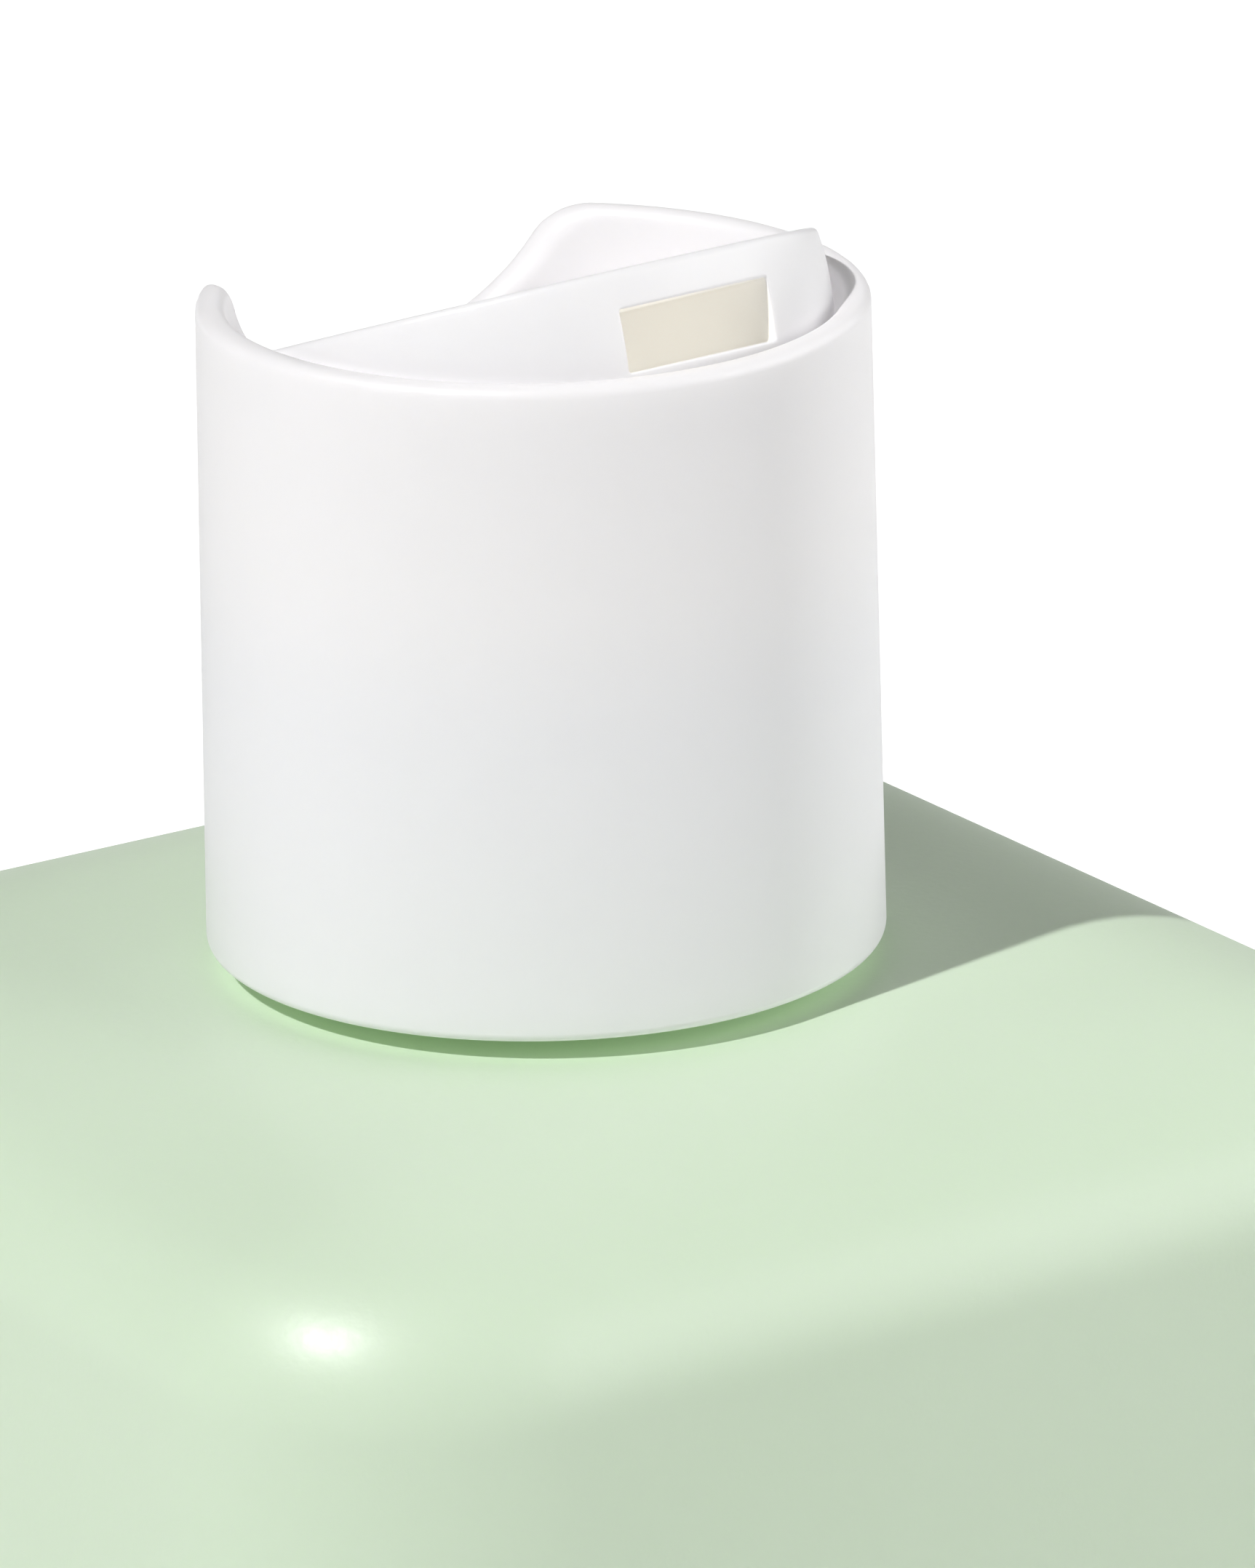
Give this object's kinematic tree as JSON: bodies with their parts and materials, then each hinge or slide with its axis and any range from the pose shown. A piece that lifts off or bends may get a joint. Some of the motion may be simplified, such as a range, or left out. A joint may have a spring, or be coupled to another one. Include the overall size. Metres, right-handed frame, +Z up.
{
  "type": "bubble bath bottle",
  "caption": "Pale green rounded-square plastic bottle with a soft shoulder and a white screw cap whose round disc tips to open a spout.",
  "frame": {"origin": "centre of the base, on the surface that the bottle stands on", "axes": "+Z up along the bottle, -Y out of the front face, the way the spout points, +X to the right seen from the front"},
  "size_m": [0.06, 0.06, 0.1644],
  "materials": {
    "bottle_plastic": "satin",
    "liner_foam": "matte",
    "cap_plastic": "satin",
    "disc_plastic": "satin"
  },
  "bodies": {
    "bottle": {"bottle": "bottle_plastic"},
    "liner": {"seal_liner": "liner_foam"},
    "cap": {"cap_shell": "cap_plastic"},
    "disc": {"press_disc": "disc_plastic"}
  },
  "joints": [
    {"name": "cap_lift", "type": "slide", "parent": "bottle", "child": "liner", "axis": [0, 0, 1], "range_m": [0, 0.0176]},
    {"name": "cap_turn", "type": "hinge", "parent": "liner", "child": "cap", "pos_m": [0, 0, 0.1329], "axis": [0, 0, 1], "range_deg": [0, 1980]},
    {"name": "disc_tilt", "type": "hinge", "parent": "cap", "child": "disc", "pos_m": [0, 0, 0.15865], "axis": [0.9984, 0.0558, 0], "range_deg": [0, 20.5]}
  ],
  "couplings": [
    {"joint": "cap_lift", "follows": "cap_turn", "m_per_rad": 0.00050611}
  ]
}
